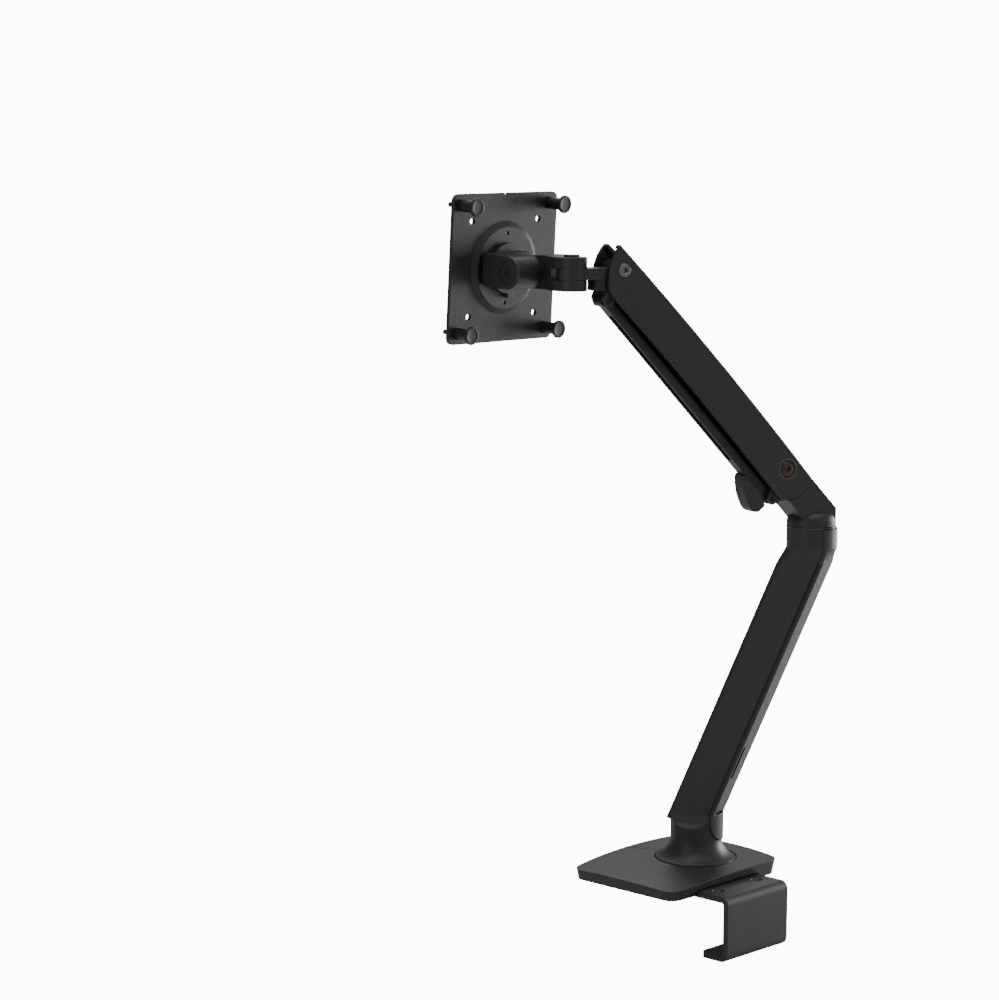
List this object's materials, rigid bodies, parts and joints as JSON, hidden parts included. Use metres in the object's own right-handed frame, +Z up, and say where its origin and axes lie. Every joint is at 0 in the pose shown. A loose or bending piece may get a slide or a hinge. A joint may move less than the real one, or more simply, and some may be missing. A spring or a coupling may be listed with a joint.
{
  "type": "monitor arm",
  "caption": "Desk-clamp monitor arm: dished base with under-desk hook, leaning column arm, gas-spring parallelogram upper arm, swivelling and tilting square mounting plate.",
  "frame": {"origin": "base swivel axis at the desk top, on the underside of the base pad", "axes": "+Z up, +Y towards the desk edge that the hook grips, +X along the desk edge"},
  "size_m": [0.2979, 0.1816, 0.6256],
  "materials": {
    "powder_coat": "fine-textured charcoal powder coat on cast aluminium",
    "coated_steel": "fine-textured charcoal powder coat on pressed steel",
    "cover_plastic": "satin moulded charcoal plastic",
    "steel_pin": "turned steel, satin",
    "black_steel": "black oxide steel",
    "tilt_coat": "smoother warm charcoal coat",
    "bush_plastic": "natural acetal",
    "ring_plastic": "polished black acetal",
    "pad_rubber": "soft black rubber",
    "thumb_plastic": "satin black moulded plastic",
    "spring_tube": "gloss black tube",
    "rod_chrome": "hard chromed rod"
  },
  "bodies": {
    "base": {"base_casting": "powder_coat", "base_pad": "pad_rubber", "front_cover": "cover_plastic", "rear_cover": "cover_plastic", "base_spindle": "steel_pin", "spindle_screws": "black_steel", "clamp_bracket": "coated_steel", "bracket_screws": "black_steel", "thrust_washer": "bush_plastic", "column_circlip": "steel_pin"},
    "pressure_foot": {"pressure_plate": "steel_pin", "pressure_pad": "pad_rubber"},
    "clamp_screw_1": {"clamp_screw_1": "black_steel"},
    "clamp_screw_2": {"clamp_screw_2": "black_steel"},
    "lower_arm": {"lower_arm": "powder_coat", "cable_strip": "cover_plastic", "column_bushes": "bush_plastic", "elbow_spindle": "steel_pin", "elbow_ring": "ring_plastic", "elbow_retainer": "cover_plastic"},
    "knuckle": {"elbow_knuckle": "powder_coat", "crank_pin": "steel_pin", "elbow_bush": "bush_plastic", "pivot_bushes": "bush_plastic", "link_rear_pin": "black_steel"},
    "upper_arm": {"arm_casing": "powder_coat", "pivot_screws": "steel_pin", "front_pin": "steel_pin", "front_pin_nut": "steel_pin"},
    "link": {"levelling_link": "powder_coat", "link_front_pin": "black_steel", "cable_clip": "cover_plastic", "cable_clip_screw": "black_steel"},
    "spring_carriage": {"tension_nut": "steel_pin", "spring_tube": "spring_tube"},
    "spring_rod": {"spring_rod": "rod_chrome", "spring_yoke": "steel_pin"},
    "tension_screw": {"tension_screw": "black_steel"},
    "clevis": {"front_clevis": "powder_coat", "front_bush": "bush_plastic", "head_bush": "bush_plastic"},
    "fork": {"swivel_fork": "powder_coat", "head_screw": "black_steel", "head_nut": "steel_pin", "head_washers": "bush_plastic"},
    "tilt": {"tilt_block": "tilt_coat", "tilt_screw": "steel_pin", "tilt_cap": "cover_plastic", "tilt_nut": "steel_pin", "tilt_washer": "bush_plastic"},
    "plate": {"mounting_plate": "coated_steel", "turning_boss": "powder_coat", "turning_shaft": "steel_pin", "turning_nut": "steel_pin", "boss_screws": "black_steel"},
    "thumb_1": {"thumb_screw_1": "thumb_plastic"},
    "thumb_2": {"thumb_screw_2": "thumb_plastic"},
    "thumb_3": {"thumb_screw_3": "thumb_plastic"},
    "thumb_4": {"thumb_screw_4": "thumb_plastic"}
  },
  "joints": [
    {"name": "base_swivel", "type": "hinge", "parent": "base", "child": "lower_arm", "pos_m": [0, 0, 0.03], "axis": [0, 0, 1], "range_deg": [-180, 180]},
    {"name": "elbow_swivel", "type": "hinge", "parent": "lower_arm", "child": "knuckle", "pos_m": [-0.03225, 0.09106, 0.304], "axis": [0, 0, 1], "range_deg": [-37, 290]},
    {"name": "arm_lift", "type": "hinge", "parent": "knuckle", "child": "upper_arm", "pos_m": [-0.00094, 0.08095, 0.3537], "axis": [-0.3074, -0.9516, 0], "range_deg": [-60, 8]},
    {"name": "link_follow", "type": "hinge", "parent": "knuckle", "child": "link", "pos_m": [0.01048, 0.07726, 0.3297], "axis": [-0.3074, -0.9516, 0], "range_deg": [-60, 8]},
    {"name": "clevis_level", "type": "hinge", "parent": "upper_arm", "child": "clevis", "pos_m": [0.14689, 0.0332, 0.51798], "axis": [-0.3074, -0.9516, 0], "range_deg": [-8, 60]},
    {"name": "rod_slide", "type": "slide", "parent": "upper_arm", "child": "spring_rod", "axis": [0.6538, -0.2112, 0.7266], "range_m": [-0.0016, 0.0115]},
    {"name": "tension_turn", "type": "hinge", "parent": "upper_arm", "child": "tension_screw", "pos_m": [0.1331, 0.03766, 0.50265], "axis": [0.6538, -0.2112, 0.7266], "range_deg": [0, 1921]},
    {"name": "tension_slide", "type": "slide", "parent": "upper_arm", "child": "spring_carriage", "axis": [0.6538, -0.2112, 0.7266], "range_m": [0, 0.008]},
    {"name": "head_swivel", "type": "hinge", "parent": "clevis", "child": "fork", "pos_m": [0.18496, 0.0209, 0.51528], "axis": [0, 0, 1], "range_deg": [-17, 162]},
    {"name": "head_tilt", "type": "hinge", "parent": "fork", "child": "tilt", "pos_m": [0.18496, -0.0192, 0.51528], "axis": [-1, 0, 0], "range_deg": [-20, 60]},
    {"name": "plate_turn", "type": "hinge", "parent": "tilt", "child": "plate", "pos_m": [0.18496, -0.05514, 0.51723], "axis": [0, -0.9985, 0.0541], "range_deg": [-90, 90]},
    {"name": "thumb_1_spin", "type": "hinge", "parent": "plate", "child": "thumb_1", "pos_m": [0.23496, -0.04085, 0.56652], "axis": [0, -0.9985, 0.0541], "continuous": true},
    {"name": "thumb_2_spin", "type": "hinge", "parent": "plate", "child": "thumb_2", "pos_m": [0.23496, -0.04626, 0.46667], "axis": [0, -0.9985, 0.0541], "continuous": true},
    {"name": "thumb_3_spin", "type": "hinge", "parent": "plate", "child": "thumb_3", "pos_m": [0.13496, -0.04085, 0.56652], "axis": [0, -0.9985, 0.0541], "continuous": true},
    {"name": "thumb_4_spin", "type": "hinge", "parent": "plate", "child": "thumb_4", "pos_m": [0.13496, -0.04626, 0.46667], "axis": [0, -0.9985, 0.0541], "continuous": true},
    {"name": "clamp_slide", "type": "slide", "parent": "base", "child": "pressure_foot", "axis": [0, 0, -1], "range_m": [0, 0.004]},
    {"name": "clamp_screw_1_turn", "type": "hinge", "parent": "pressure_foot", "child": "clamp_screw_1", "pos_m": [-0.014, -0.04, 0.006], "axis": [0, 0, 1], "range_deg": [0, 1153]},
    {"name": "clamp_screw_2_turn", "type": "hinge", "parent": "pressure_foot", "child": "clamp_screw_2", "pos_m": [0.054, -0.04, 0.006], "axis": [0, 0, 1], "range_deg": [0, 1153]}
  ],
  "couplings": [
    {"joint": "link_follow", "follows": "arm_lift", "ratio": 1},
    {"joint": "clevis_level", "follows": "arm_lift", "ratio": -1},
    {"joint": "rod_slide", "follows": "arm_lift", "m_per_rad": -0.01094},
    {"joint": "tension_turn", "follows": "tension_slide", "rad_per_m": 4188.8},
    {"joint": "clamp_screw_1_turn", "follows": "clamp_slide", "rad_per_m": 5026.5},
    {"joint": "clamp_screw_2_turn", "follows": "clamp_slide", "rad_per_m": 5026.5}
  ]
}
